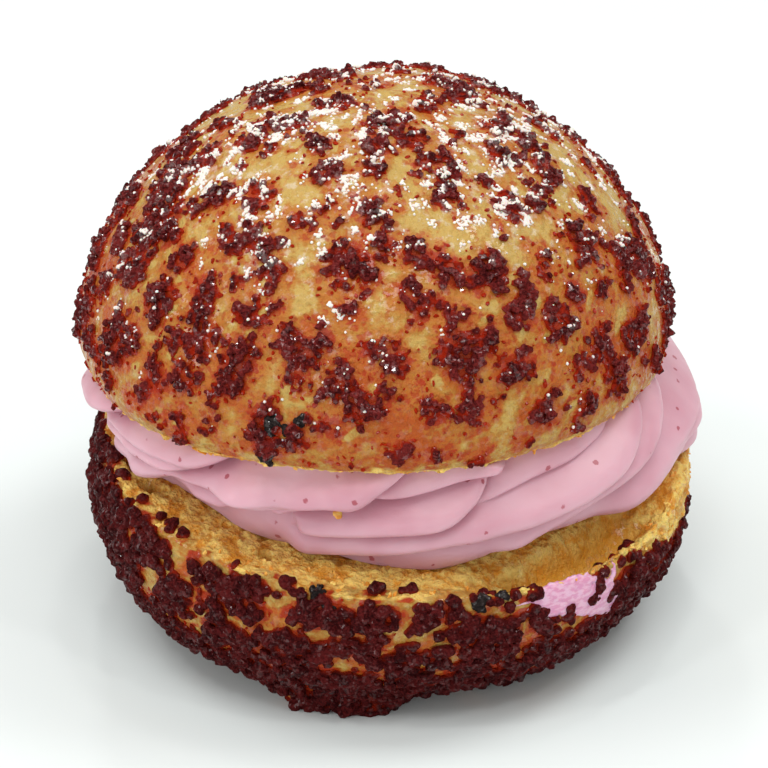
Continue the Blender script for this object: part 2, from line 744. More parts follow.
def bun_pocket(places):
    """1 in the middle of the burst bubbles in the torn rim."""
    angles = bun_angles(places)
    radius = np.hypot(places[:, 0] - AXIS.x, places[:, 1] - AXIS.y) + ragged(places, 2.5 * MM, 0.5 * MM)
    pocket = np.zeros(len(places))
    for angle, half_turn, middle, half_wide in POCKETS:
        along = np.abs((angles - angle + 180) % 360 - 180) / half_turn
        across = np.abs(radius - middle * MM) / (half_wide * MM)
        pocket = np.maximum(pocket, smooth((1 - along) * 3) * smooth((1 - across) * 1.8))
    return pocket * smooth((places[:, 2] - 10 * MM) / (4 * MM))


POCKETS = [(-43, 17, 34.3, 2.6), (-63, 2.4, 34.0, 1.6), (-152, 3.0, 35.0, 1.0), (-118, 2.0, 33.6, 0.9)]
POCKETS += [(20, 9, 34.5, 1.8), (78, 12, 34.2, 2.0), (140, 10, 34.5, 1.8), (196, 6, 34.8, 1.5)]
store(bun_copy, "pocket", bun_pocket(vertex_places(bun_copy)[0]))
store(lid_copy, "pocket", np.zeros(len(lid_copy.data.vertices)))
store(lid_copy, "cover", lid_cover(*vertex_places(lid_copy)))
store(lid_copy, "crumb", lid_crumb(*vertex_places(lid_copy)))
store(bun_copy, "cover", bun_cover(*vertex_places(bun_copy)))
store(bun_copy, "crumb", bun_crumb(*vertex_places(bun_copy)))

# %% [markdown]
# The crumble's islands are Voronoi cells with ragged outlines: a point belongs to an island when it is
# near enough to its cell's seed, and `cover` sets how near that is. On the bottom bun the cells are
# squashed, so that the cracks between them run round the bun.


# %% The skins' tree
def skin_shape(graph, inputs):
    """Relief of choux skin, pits in the crumb, and the attribute that says where crumble lies."""
    place = graph.node("GeometryNodeInputPosition")
    normal = graph.node("GeometryNodeInputNormal")
    read = {"data_type": "FLOAT"}
    cover = graph.node("GeometryNodeInputNamedAttribute", read, {"Name": "cover"})
    crumb = graph.node("GeometryNodeInputNamedAttribute", read, {"Name": "crumb"})
    pocket = graph.node("GeometryNodeInputNamedAttribute", read, {"Name": "pocket"})
    size = inputs["Island"]
    wander = graph.cloud(place, size * 0.7, detail=2, output="Color") - (0.5, 0.5, 0.5)
    squash = graph.node("ShaderNodeCombineXYZ", None, {"X": 1.0, "Y": 1.0, "Z": inputs["Squash"]})
    pattern = place * squash + wander * (size * 0.9)
    spread = graph.cells(pattern, size)
    lobes = graph.cloud(pattern, size * 0.4, detail=3, roughness=0.65)
    island = cover * 0.95 + 0.07 - spread + (lobes - 0.5) * 0.6
    island = island - graph.ease(cover, 0.1, 0.0) * 1.0
    crumbs = cover * 0.5 - 0.03 - graph.cells(place + wander * (1.0 * MM), 2.3 * MM) + (lobes - 0.5) * 0.5
    crumbs = crumbs - graph.ease(cover, 0.15, 0.05) - graph.ease(island, -0.25, -0.5) * 0.6
    island = graph.math("MAXIMUM", island, crumbs * 0.8)
    edge = graph.cells(pattern * (1, 1, 1.4), size * 1.6, feature="DISTANCE_TO_EDGE")
    crack = graph.ease(edge + (lobes - 0.5) * 0.12, inputs["Crack"], inputs["Crack"] * 0.4)
    island = island - crack * 0.6
    bumps = (graph.cloud(place, 7 * MM, detail=2) - 0.5) * 0.9 + (graph.cloud(place, 2.2 * MM) - 0.5) * 0.4
    sponge = (graph.cloud(place, 2.2 * MM, detail=4, roughness=0.75) - 0.5) * 2.6
    holes = graph.ease(graph.cells(place, 1.6 * MM), 0.45, 0.15) * 0.35
    sponge = sponge - holes
    rise = bumps * (1 - crumb) * inputs["Relief"] + sponge * crumb * inputs["Sponge"]
    flat = graph.ease(graph.node("ShaderNodeSeparateXYZ", None, {"Vector": place}, output="Z"), 0.0, 3 * MM)
    offset = normal * (rise * flat * (1 - pocket * 0.7))
    sink = graph.node("ShaderNodeCombineXYZ", None, {"Z": pocket * inputs["Pocket"] * -1.0})
    offset = offset + sink
    shape = graph.node("GeometryNodeSetPosition", None, {"Geometry": inputs["Geometry"], "Offset": offset})
    keep = {"data_type": "FLOAT", "domain": "POINT"}
    told = {"Geometry": shape, "Name": "crumble", "Value": island}
    shape = graph.node("GeometryNodeStoreNamedAttribute", keep, told)
    told = {"Geometry": shape, "Name": "pit", "Value": sponge + 0.55}
    return graph.node("GeometryNodeStoreNamedAttribute", keep, told)


sizes = {"Island": 4.8 * MM, "Squash": 1.0, "Crack": 0.001}
sizes.update({"Relief": 0.6 * MM, "Sponge": 0.9 * MM, "Pocket": 2.9 * MM})
skin_tree = geometry_tree("choux_skin", sizes, skin_shape)
lid_skin = grown("lid_skin", lid_copy, skin_tree, lid_finish)
bun_skin = grown("bun_skin", bun_copy, skin_tree, bun_finish, {"Island": 5.8 * MM, "Squash": 1.5, "Crack": 0.09})
for piece in (lid_skin, bun_skin):
    piece.data.shade_smooth()
    report(piece)

# %% [markdown]
# ## The crumble
# Crumble is a crust of grains about a millimetre across that baked into each other. Grains are dropped on
# the islands, piled higher in the middle of each, and turned into one volume. The surface of that volume
# has the rounded, knobbly look of the real thing, where a heap of separate balls would not.


# %% Crumble tree
def melted(graph, points, radius, voxel):
    """The surface of one volume round all the points."""
    volume = {"Points": points, "Radius": radius, "Voxel Size": voxel}
    volume = graph.node("GeometryNodePointsToVolume", {"resolution_mode": "VOXEL_SIZE"}, volume)
    volume = {"Volume": volume, "Threshold": 0.1}
    return graph.node("GeometryNodeVolumeToMesh", {"resolution_mode": "GRID"}, volume)


def knobbly(graph, shape, depth):
    """Pushes a surface out into knobs a millimetre across, and keeps it above the floor."""
    place = graph.node("GeometryNodeInputPosition")
    crags = (graph.cloud(place, 0.6 * MM, detail=3) - 0.5) * (depth * 0.9)
    knobs = (0.4 - graph.cells(place, 1.1 * MM)) * depth + crags
    offset = graph.node("GeometryNodeInputNormal") * knobs
    shape = graph.node("GeometryNodeSetPosition", None, {"Geometry": shape, "Offset": offset})
    height = graph.node("ShaderNodeSeparateXYZ", None, {"Vector": place}, output="Z")
    rise = graph.node("ShaderNodeCombineXYZ", None, {"Z": graph.math("MAXIMUM", height * -1.0, 0.0)})
    return graph.node("GeometryNodeSetPosition", None, {"Geometry": shape, "Offset": rise})


def crumble_shape(graph, inputs):
    """Grains on the islands, melted into one crust."""
    skin = inputs["Geometry"]
    island = graph.node("GeometryNodeInputNamedAttribute", {"data_type": "FLOAT"}, {"Name": "crumble"})

    def grains(seed, where, spacing, small, large, low, high):
        """Grains of random sizes where the skin says so, lifted by a share of their pile."""
        scatter = {"Mesh": skin, "Distance Min": spacing, "Density Max": inputs["Density"]}
        scatter.update({"Density Factor": where, "Seed": seed})
        points = graph.node("GeometryNodeDistributePointsOnFaces", {"distribute_method": "POISSON"}, scatter)
        normal = graph.other(points, "Normal")
        either = {"data_type": "FLOAT"}
        lift = graph.node("FunctionNodeRandomValue", either, {2: low, 3: high, "Seed": seed + 1}, output=1)
        lift = lift * (0.3 + graph.ease(island, 0.0, 0.3) * 0.7)
        moved = {"Geometry": points, "Offset": normal * (lift * inputs["Pile"])}
        points = graph.node("GeometryNodeSetPosition", None, moved)
        size = graph.node("FunctionNodeRandomValue", either, {2: small, 3: large, "Seed": seed + 2}, output=1)
        told = {"Geometry": points, "Name": "size", "Value": size}
        keep = {"data_type": "FLOAT", "domain": "POINT"}
        return graph.node("GeometryNodeStoreNamedAttribute", keep, told)

    heap = grains(inputs["Seed"], graph.ease(island, 0.0, 0.03), inputs["Spacing"], 0.85, 1.5, -0.4, 0.9)
    size = graph.node("GeometryNodeInputNamedAttribute", {"data_type": "FLOAT"}, {"Name": "size"})
    crust = melted(graph, heap, size * inputs["Grain"], inputs["Voxel"])
    crust = knobbly(graph, crust, inputs["Knob"])
    nearest = {"Target": skin, "Source Position": graph.node("GeometryNodeInputPosition")}
    thick = graph.node("GeometryNodeProximity", {"target_element": "FACES"}, nearest, output="Distance")
    told = {"Geometry": crust, "Name": "thick", "Value": thick / MM}
    crust = graph.node("GeometryNodeStoreNamedAttribute", {"data_type": "FLOAT", "domain": "POINT"}, told)
    return graph.node("GeometryNodeSetShadeSmooth", None, {"Geometry": crust, "Shade Smooth": False})


sizes = {"Spacing": 0.6 * MM, "Density": 5.0e6, "Grain": 0.5 * MM}
sizes.update({"Pile": 0.8 * MM, "Voxel": 0.28 * MM, "Knob": 0.75 * MM, "Seed": 3})
crumble_tree = geometry_tree("crumble", sizes, crumble_shape)
lid_crumble = grown("lid_crumble", lid_skin, crumble_tree, crumble_red, keep=0.45)
bun_crumble = grown("bun_crumble", bun_skin, crumble_tree, crumble_low, {"Seed": 8, "Knob": 0.45 * MM, "Grain": 0.66 * MM, "Spacing": 0.75 * MM}, keep=0.34)
report(lid_crumble)
report(bun_crumble)

# %% [markdown]
# Loose grains lie round every island, fewer further out. They are small and flat-sided, with twenty faces
# each, and so thin that they look rusty next to the dark heaps.


# %% Loose grains
def stray_shape(graph, inputs):
    """Small flat-sided grains on the skin round the islands."""
    island = graph.node("GeometryNodeInputNamedAttribute", {"data_type": "FLOAT"}, {"Name": "crumble"})
    crumb = graph.node("GeometryNodeInputNamedAttribute", {"data_type": "FLOAT"}, {"Name": "crumb"})
    close = graph.ease(island, -0.42, -0.06)
    where = (close * close * 0.2 + 0.003) * graph.ease(island, 0.08, 0.0) * (1 - crumb * 0.93)
    height = graph.node("GeometryNodeInputPosition")
    height = graph.node("ShaderNodeSeparateXYZ", None, {"Vector": height}, output="Z")
    where = where * graph.ease(height, 0.6 * MM, 1.2 * MM)
    scatter = {"Mesh": inputs["Geometry"], "Distance Min": 0.5 * MM, "Density Max": inputs["Density"]}
    scatter.update({"Density Factor": where, "Seed": inputs["Seed"]})
    points = graph.node("GeometryNodeDistributePointsOnFaces", {"distribute_method": "POISSON"}, scatter)
    grain = graph.node("GeometryNodeMeshIcoSphere", None, {"Radius": inputs["Grain"], "Subdivisions": 1})
    either = {"data_type": "FLOAT_VECTOR"}
    size = {0: (0.6, 0.6, 0.3), 1: (2.1, 1.8, 1.1), "Seed": 4}
    size = graph.node("FunctionNodeRandomValue", either, size)
    turn = graph.node("FunctionNodeRandomValue", either, {0: (0, 0, 0), 1: (6.3, 6.3, 6.3), "Seed": 5})
    drop = {"Points": points, "Instance": grain, "Scale": size, "Rotation": turn}
    return graph.node("GeometryNodeInstanceOnPoints", None, drop)


stray_tree = geometry_tree("loose_grains", {"Density": 4.0e6, "Grain": 0.25 * MM, "Seed": 31}, stray_shape)
lid_strays = grown("lid_strays", lid_skin, stray_tree, crumble_rust)
bun_strays = grown("bun_strays", bun_skin, stray_tree, crumble_rust, {"Seed": 32})
report(lid_strays)
report(bun_strays)

# %% [markdown]
# ## The cream
# The cream was piped round the bun with a star nozzle, one turn over another, so its side is a stack of
# ridges. Each ridge hangs a little over the one below it, and the crease between them starts at the
# crumb, climbs slowly, and then turns up steeply under the lid.
#
# The body under the ridges comes from the solid: rays find its radius at every angle and height, and the
# mean over a few ridges is the smooth body.


# %% The cream's body
CREAM_TURNS = 600
CREAM_LEVELS = 100
GAP = 0.4 * MM


def tree_of(node):
    """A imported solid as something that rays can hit."""
    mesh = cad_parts[node].data
    return BVHTree.FromPolygons([v.co for v in mesh.vertices], [p.vertices for p in mesh.polygons])


def soften(grid, turns, levels):
    """The running mean of a grid, which wraps round in its first direction."""
    kernel = np.hanning(2 * turns + 3)[1:-1]
    wrapped = np.concatenate([grid[-turns:], grid, grid[:turns]])
    grid = np.apply_along_axis(np.convolve, 0, wrapped, kernel / kernel.sum(), "valid")
    if levels:
        kernel = np.hanning(2 * levels + 3)[1:-1]
        padded = np.pad(grid, ((0, 0), (levels, levels)), mode="reflect", reflect_type="odd")
        grid = np.apply_along_axis(np.convolve, 1, padded, kernel / kernel.sum(), "valid")
    return grid


TUCK = 2.6 * MM  # the cream's foot keeps back from the open pocket
TUCK_ANGLE = 322
TUCK_HALF_TURN = 36
TUCK_SHARE = 0.75


def cream_body():
    """Radius, foot height and top height of the cream at every angle."""
    cream, bun, lid = tree_of("cream_filling"), tree_of("bottom_bun"), tree_of("top_bun")
    angles = np.arange(CREAM_TURNS) * 360 / CREAM_TURNS
    foot = np.empty(CREAM_TURNS)
    top = np.empty(CREAM_TURNS)
    radius = np.empty((CREAM_TURNS, CREAM_LEVELS))
    for turn, angle in enumerate(angles):
        above = polar(angle, 31 * MM, 32 * MM)
        foot[turn] = bun.ray_cast(above, Vector((0, 0, -1)))[0].z
        top[turn] = lid.ray_cast(above, Vector((0, 0, 1)))[0].z
    foot, top = (soften(line[:, None], 7, 0)[:, 0] for line in (foot, top))
    for turn, angle in enumerate(angles):
        inwards = (AXIS - polar(angle, 1, 0)).normalized()
        low, high = foot[turn] + 1.0 * MM, top[turn] - 1.4 * MM
        for level, height in enumerate(np.linspace(low, high, CREAM_LEVELS)):
            hit = cream.ray_cast(polar(angle, 60 * MM, height), inwards)[0]
            radius[turn, level] = (Vector((hit.x, hit.y, 0)) - AXIS).length
    return angles, foot, top, soften(radius, 24, 20)


angles, foot, top, radius = cream_body()
tucked = near(angles, TUCK_ANGLE, TUCK_HALF_TURN)
low_down = 1 - smooth(np.linspace(0, 1, CREAM_LEVELS) / TUCK_SHARE)
radius = radius - TUCK * np.outer(tucked, low_down)
print("cream's height, mm:", (top - foot).min() / MM, (top - foot).max() / MM)

# %% [markdown]
# A crease is drawn as a curve of angle against share of the cream's height, from a few points each. The
# ones at the front are the piping of this very puff. There, the nozzle set down anew: a crease hooks
# down to the one below it. The rest follow one rule, a crease every 33 degrees with a shallow one between.


# %% Creases
CLIMB = [(0, 0.02), (10, 0.12), (20, 0.2), (30, 0.28), (42, 0.38), (54, 0.45), (66, 0.56), (75, 0.75), (84, 1.0)]
SHALLOW = [(0, 0.35), (15, 0.5), (35, 0.62), (50, 0.75), (62, 1.0)]
UPPER_FOLD = [(236, 0.5), (251, 0.59), (260, 0.67), (270, 0.7), (280, 0.8), (290, 0.9), (298, 1.0)]
LEFT_FOLD = [(205, 0.1), (212, 0.25), (220, 0.42), (230, 0.53), (240, 0.6), (248, 0.64)]
HOOK = [(222, 0.08), (231, 0.3), (236, 0.43), (241, 0.5), (244, 0.5), (247, 0.44), (249, 0.36), (250.5, 0.27)]
MIDDLE_FOLD = [(250, 0.27), (260, 0.345), (270, 0.42), (280, 0.475), (284, 0.55), (287, 0.66), (290, 0.8), (294, 1.0)]
MIDDLE_RISE = [(288, 0.6), (294, 0.68), (300, 0.74), (310, 0.79), (320, 0.88), (326, 1.0)]
FRONT_FOLD = [(247, 0.0), (260, 0.12), (270, 0.2), (280, 0.285), (290, 0.36), (300, 0.42), (310, 0.5)]
FRONT_FOLD += [(320, 0.6), (326, 0.7), (331, 0.82), (337, 1.0)]
RIGHT_FOLD = [(294, 0.14), (302, 0.24), (310, 0.34), (320, 0.43), (330, 0.52), (337, 0.63), (343, 0.76), (349, 1.0)]

creases = [
    (UPPER_FOLD, 1.3),
    (LEFT_FOLD, 1.1),
    (HOOK, 1.0),
    (MIDDLE_FOLD, 1.5),
    (MIDDLE_RISE, 0.6),
    (FRONT_FOLD, 1.5),
    (RIGHT_FOLD, 1.4),
]
for step, start in enumerate(range(322, 322 + 8 * 33, 33)):
    turned = start + 4 * math.sin(5 * step)
    creases.append(([(turned + angle, share) for angle, share in CLIMB], 1.2))
for step, start in enumerate(range(345, 345 + 7 * 33, 33)):
    turned = start + 5 * math.sin(3 * step)
    creases.append(([(turned + angle, share) for angle, share in SHALLOW], 0.5))


CREASE_BLEND = 9  # half degrees to either side of a knot


def crease_height(knots, angles):
    """A crease's share of the height at every angle, and how much of it is there, from 0 to 1."""
    begin, end = knots[0][0], knots[-1][0]
    along = begin + (angles - begin) % 360
    along = np.where(along > end + 12, along - 360, along)
    fine = np.arange(begin - 12, end + 13, 0.5)
    bends = np.interp(fine, [knot[0] for knot in knots], [knot[1] for knot in knots])
    kernel = np.hanning(2 * CREASE_BLEND + 1)
    bends = np.convolve(np.pad(bends, CREASE_BLEND, mode="edge"), kernel / kernel.sum(), "valid")
    share = np.interp(along, fine, bends)
    there = smooth((along - begin + 4) / 9) * smooth((end + 4 - along) / 9)
    return share, there


def crease_profile(above):
    """How far the surface moves out, in mm, at a distance in mm above a crease: a roll over a hollow."""
    risen = np.maximum(above, 0)
    over = 1.5 * (risen / ROLL) * np.exp(1 - risen / ROLL) - 1.2 * np.exp(-risen / 0.5)
    under = -1.2 * np.exp(np.minimum(above, 0) / 1.8)
    return np.where(above > 0, over, under)


ROLL = 1.5  # mm from a crease up to the crest of the roll above it


def cream_folds(angles, shares, heights):
    """For every vertex, how far the folds push it out, and how far they let it droop."""
    push = np.zeros(len(angles))
    droop = np.zeros(len(angles))
    for knots, depth in creases:
        line, there = crease_height(knots, angles)
        above = (shares - line) * heights / MM
        push += depth * there * crease_profile(above)
        droop += depth * there * np.exp(-(((above - 0.9) / 0.9) ** 2))
    return push, droop


def cream_band(angles, foot, top, radius):
    """The cream's body as a closed mesh, with what each vertex needs to know stored on it."""
    low_caps = [(0.0, -13.0), (0.45, -11.5), (0.75, -8.0), (0.9, -0.2)]
    high_caps = [(0.95, 0.3), (0.75, 1.6), (0.4, 3.2), (0.0, 4.0)]
    rings = []
    for inset, rise in low_caps[1:]:
        rings.append((radius[:, 0] * inset, foot + rise * MM, 0.0, 0.0))
    for level in range(CREAM_LEVELS):
        share = level / (CREAM_LEVELS - 1)
        height = foot + 0.1 * MM + (top - foot - 0.2 * MM) * share
        rings.append((radius[:, level], height, share, 1.0))
    for inset, rise in high_caps[:-1]:
        rings.append((radius[:, -1] * inset, top + rise * MM, 1.0, 0.0))
    points = [AXIS + Vector((0, 0, foot.mean() + low_caps[0][1] * MM))]
    told = [(0.0, 0.0, 1.0, 0.0)]
    for ring_radius, ring_height, share, side in rings:
        for angle, out, height, tall in zip(angles, ring_radius, ring_height, top - foot):
            points.append(polar(angle, out, height))
            told.append((angle, share, tall, side))
    points.append(AXIS + Vector((0, 0, top.mean() + high_caps[-1][1] * MM)))
    told.append((0.0, 1.0, 1.0, 0.0))
    return points, np.array(told), len(rings)


def ring_faces(rings, segments):
    """Faces of a stack of rings between two poles."""
    last = 1 + rings * segments
    faces = []
    for segment in range(segments):
        after = (segment + 1) % segments
        faces.append((0, 1 + after, 1 + segment))
        for ring in range(rings - 1):
            low, high = 1 + ring * segments, 1 + (ring + 1) * segments
            faces.append((low + segment, low + after, high + after, high + segment))
        top_ring = 1 + (rings - 1) * segments
        faces.append((top_ring + segment, top_ring + after, last))
    return faces


points, told, rings = cream_band(angles, foot, top, radius)
mesh = bpy.data.meshes.new("cream_body")
mesh.from_pydata(points, [], ring_faces(rings, CREAM_TURNS))
cream_host = bpy.data.objects.new("cream_body", mesh)
bpy.context.scene.collection.objects.link(cream_host)
push, droop = cream_folds(told[:, 0], told[:, 1], told[:, 2])
store(cream_host, "push", push * told[:, 3])
store(cream_host, "droop", droop * told[:, 3])
report(cream_host)

# %% [markdown]
# The tree moves the surface along these folds. `Fold` scales how far ridges stand out, `Droop` how far
# their lower edges hang, and a little slow noise keeps the ridges from looking turned on a lathe.


# %% The cream's folds
def cream_shape(graph, inputs):
    """Moves the body's surface in and out along the ridges."""
    read = {"data_type": "FLOAT"}
    push = graph.node("GeometryNodeInputNamedAttribute", read, {"Name": "push"})
    droop = graph.node("GeometryNodeInputNamedAttribute", read, {"Name": "droop"})
    place = graph.node("GeometryNodeInputPosition")
    uneven = (graph.cloud(place, 6 * MM, detail=2) - 0.5) * inputs["Uneven"]
    out = graph.node("ShaderNodeVectorMath", {"operation": "MULTIPLY"}, {0: place - tuple(AXIS), 1: (1, 1, 0)})
    out = graph.node("ShaderNodeVectorMath", {"operation": "NORMALIZE"}, {0: out})
    fall = graph.node("ShaderNodeCombineXYZ", None, {"Z": droop * inputs["Droop"] * -1.0})
    offset = out * (push * inputs["Fold"] + uneven) + fall
    moved = graph.node("GeometryNodeSetPosition", None, {"Geometry": inputs["Geometry"], "Offset": offset})
    return graph.node("GeometryNodeSetShadeSmooth", None, {"Geometry": moved})


cream_tree = geometry_tree("piped_cream", {"Fold": 1.05 * MM, "Droop": 0.45 * MM, "Uneven": 0.6 * MM}, cream_shape)
cream = grown("cream", cream_host, cream_tree, berry_cream)
report(cream)

# %% [markdown]
# ## Burnt bits and the smear
# A few clumps of crumble at the front burnt black. The lid also left a smear of cream on the bottom bun's
# skin as it was set down: a thin patch with pulled-out points and one strand that runs up to the rim.
#
# Both start as points. Rays drop them on the skin at an angle and a height, and the same melting as for
# the crumble turns them into solid shapes.


# %% Points on a surface
def surface_of(pieces):
    """Several pieces as one surface that rays can hit."""
    points = []
    faces = []
    for piece in pieces:
        start = len(points)
        points += [vertex.co.copy() for vertex in piece.data.vertices]
        faces += [[start + corner for corner in face.vertices] for face in piece.data.polygons]
    return BVHTree.FromPolygons(points, faces)


def on_surface(surface, angle, height):
    """Where a level ray from outside, at an angle, meets the near side of the surface."""
    inwards = (AXIS - polar(angle, 1, 0)).normalized()
    return surface.ray_cast(polar(angle, 70 * MM, height), inwards, 36 * MM)[0]


def point_cloud(name, points):
    """Loose points as an object, a host for a tree."""
    mesh = bpy.data.meshes.new(name)
    mesh.from_pydata(points, [], [])
    host = bpy.data.objects.new(name, mesh)
    bpy.context.scene.collection.objects.link(host)
    return host


def burnt_shape(graph, inputs):
    """Points melted into knobbly clumps."""
    points = graph.node("GeometryNodeMeshToPoints", None, {"Mesh": inputs["Geometry"]})
    clumps = knobbly(graph, melted(graph, points, inputs["Grain"], inputs["Voxel"]), 0.6 * MM)
    told = {"Geometry": clumps, "Name": "thick", "Value": 2.0}
    clumps = graph.node("GeometryNodeStoreNamedAttribute", {"data_type": "FLOAT", "domain": "POINT"}, told)
    return graph.node("GeometryNodeSetShadeSmooth", None, {"Geometry": clumps, "Shade Smooth": False})


def smear_shape(graph, inputs):
    """Points melted into a smooth patch."""
    points = graph.node("GeometryNodeMeshToPoints", None, {"Mesh": inputs["Geometry"]})
    size = graph.node("GeometryNodeInputNamedAttribute", {"data_type": "FLOAT"}, {"Name": "size"})
    patch = melted(graph, points, size * inputs["Grain"], inputs["Voxel"])
    place = graph.node("GeometryNodeInputPosition")
    smoothed = {"Value": place, "Iterations": 8}
    smoothed = graph.node("GeometryNodeBlurAttribute", {"data_type": "FLOAT_VECTOR"}, smoothed)
    patch = graph.node("GeometryNodeSetPosition", None, {"Geometry": patch, "Position": smoothed})
    return graph.node("GeometryNodeSetShadeSmooth", None, {"Geometry": patch})


LID_BURNT = [(-112, 44.5, 1.0), (-113, 40.0, 0.9), (-107, 45.6, 0.8), (-109, 44.2, 0.4)]
BUN_BURNT = [(-73, 20.0, 1.0), (-69, 20.6, 0.5), (-78, 21.4, 0.3), (-104, 21.0, 0.9), (-101, 19.2, 0.7)]
chance = np.random.default_rng(5)


def burnt_points(surface, clumps):
    """A tight cluster of points for each clump of (angle, height in mm, radius in mm)."""
    points = []
    for angle, height, radius in clumps:
        for _ in range(int(4 + 9 * radius)):
            aside, up = chance.normal(0, 0.55 * radius, 2)
            turned = angle + math.degrees(aside * MM / PUFF_RADIUS)
            points.append(on_surface(surface, turned, (height + up) * MM))
    return [point for point in points if point]


PUFF_RADIUS = 39 * MM
lid_surface = surface_of([lid_skin])
bun_surface = surface_of([bun_skin])
burnt_host = point_cloud("burnt_host", burnt_points(lid_surface, LID_BURNT) + burnt_points(bun_surface, BUN_BURNT))
burnt_tree = geometry_tree("burnt_clumps", {"Grain": 0.6 * MM, "Voxel": 0.22 * MM}, burnt_shape)
burnt = grown("burnt_bits", burnt_host, burnt_tree, crumble_burnt)
report(burnt)

# %% [markdown]
# At the front, a little to the left, crumble ran down the bun and baked into a lump on the tray.

# %% Lump at the foot
LUMP_ANGLE = -103.5
lump_points = []
for _ in range(150):
    aside, out, up = chance.normal(0, 1.9), chance.uniform(-2.5, 1.4), abs(chance.normal(0, 2.0)) + 0.5
    lump_points.append(polar(LUMP_ANGLE + math.degrees(aside / 33), (30.9 + out + 0.3 * up) * MM, up * MM))
lump_host = point_cloud("lump_host", lump_points)
lump = grown("foot_lump", lump_host, burnt_tree, crumble_low)
report(lump)

# %% [markdown]
# The smear is laid out flat, in millimetres to the side and upwards of its middle: a body, the pulled-out
# points round it, and the strand. Points fill each of them, fewer and finer towards a tip.


# %% Smear
SMEAR_SPINE = [(-4.2, 1.0, 1.0), (-1.8, 0.8, 1.9), (1.2, 0.2, 2.2), (4.2, -1.2, 2.1), (7.0, -3.0, 1.7), (9.4, -4.6, 0.9)]
SMEAR_TIPS = [
    (-3.6, 1.2, -6.8, 1.0, 0.8),
    (-3.8, 0.6, -6.2, -0.3, 0.7),
    (-2.6, 1.6, -4.9, 2.8, 0.9),
    (-1.6, 2.0, -2.8, 3.6, 0.8),
    (0.6, 1.8, 0.4, 3.4, 0.7),
    (2.2, 1.4, 2.6, 3.6, 0.7),
    (8.6, -4.2, 11.8, -6.2, 1.0),
    (8.0, -3.0, 11.2, -3.9, 0.8),
    (6.0, -3.6, 6.8, -5.8, 0.9),
    (3.4, -2.4, 3.8, -4.4, 0.9),
    (0.6, -1.4, 0.2, -3.0, 0.8),
    (-2.0, -0.6, -3.2, -2.0, 0.8),
]
SMEAR_STRAND = [(5.2, -0.4), (6.4, 0.6), (6.8, 2.0), (7.4, 3.2), (8.8, 3.6), (10.0, 3.2)]


def smear_layout():
    """Points of (aside, up, size) that fill the smear."""
    spots = []
    aside, up, width = (np.array(numbers) for numbers in zip(*SMEAR_SPINE))
    for place in np.linspace(0, len(aside) - 1, 1500):
        knots = np.arange(len(aside))
        off = chance.uniform(-1, 1) * np.interp(place, knots, width)
        spots.append((np.interp(place, knots, aside) + 0.3 * off, np.interp(place, knots, up) + off, 0.9))
    for start_aside, start_up, end_aside, end_up, width in SMEAR_TIPS:
        for share in np.linspace(0, 1, 60):
            wander = chance.normal(0, 0.4 * width * (1 - share) + 0.02)
            along = start_aside + (end_aside - start_aside) * share
            spots.append((along + wander, start_up + (end_up - start_up) * share, 0.85 - 0.45 * share))
    for place in np.linspace(0, len(SMEAR_STRAND) - 1, 90):
        aside = np.interp(place, range(len(SMEAR_STRAND)), [spot[0] for spot in SMEAR_STRAND])
        up = np.interp(place, range(len(SMEAR_STRAND)), [spot[1] for spot in SMEAR_STRAND])
        spots.append((aside + chance.normal(0, 0.15), up, 0.7 + 0.2 * math.sin(2.2 * place)))
    return spots


SMEAR_SCALE = 1.15
smear_spots = smear_layout()
smear_surface = surface_of([bun_skin])
smear_points = []
smear_sizes = []
for aside, up, size in smear_spots:
    turned = SMEAR_ANGLE + math.degrees(SMEAR_SCALE * aside * MM / PUFF_RADIUS)
    point = on_surface(smear_surface, turned, (SMEAR_HEIGHT + SMEAR_SCALE * up) * MM)
    if point:
        smear_points.append(point)
        smear_sizes.append(size)
smear_host = point_cloud("smear_host", smear_points)
store(smear_host, "size", smear_sizes)
smear_tree = geometry_tree("smear", {"Grain": 0.42 * MM, "Voxel": 0.15 * MM}, smear_shape)
smear = grown("cream_smear", smear_host, smear_tree, berry_smear)
report(smear)

# %% [markdown]
# ## Torn flakes and loose crumbs
# The knife tore more than it cut. Small flakes of bread stand along the lid's lower edge and on the torn
# rim of the bottom bun, and a few have dropped on the cream.


# %% Flakes
def bread_finish(graph, place):
    patch = graph.cloud(place, 1.2 * MM, detail=2)
    color = graph.blend(CRUMB_AMBER, CRUMB_YELLOW, graph.ease(patch, 0.4, 0.7))
    return {"Base Color": color, "Roughness": 0.6, "Subsurface Weight": 0.2, "Subsurface Scale": 0.5 * MM}


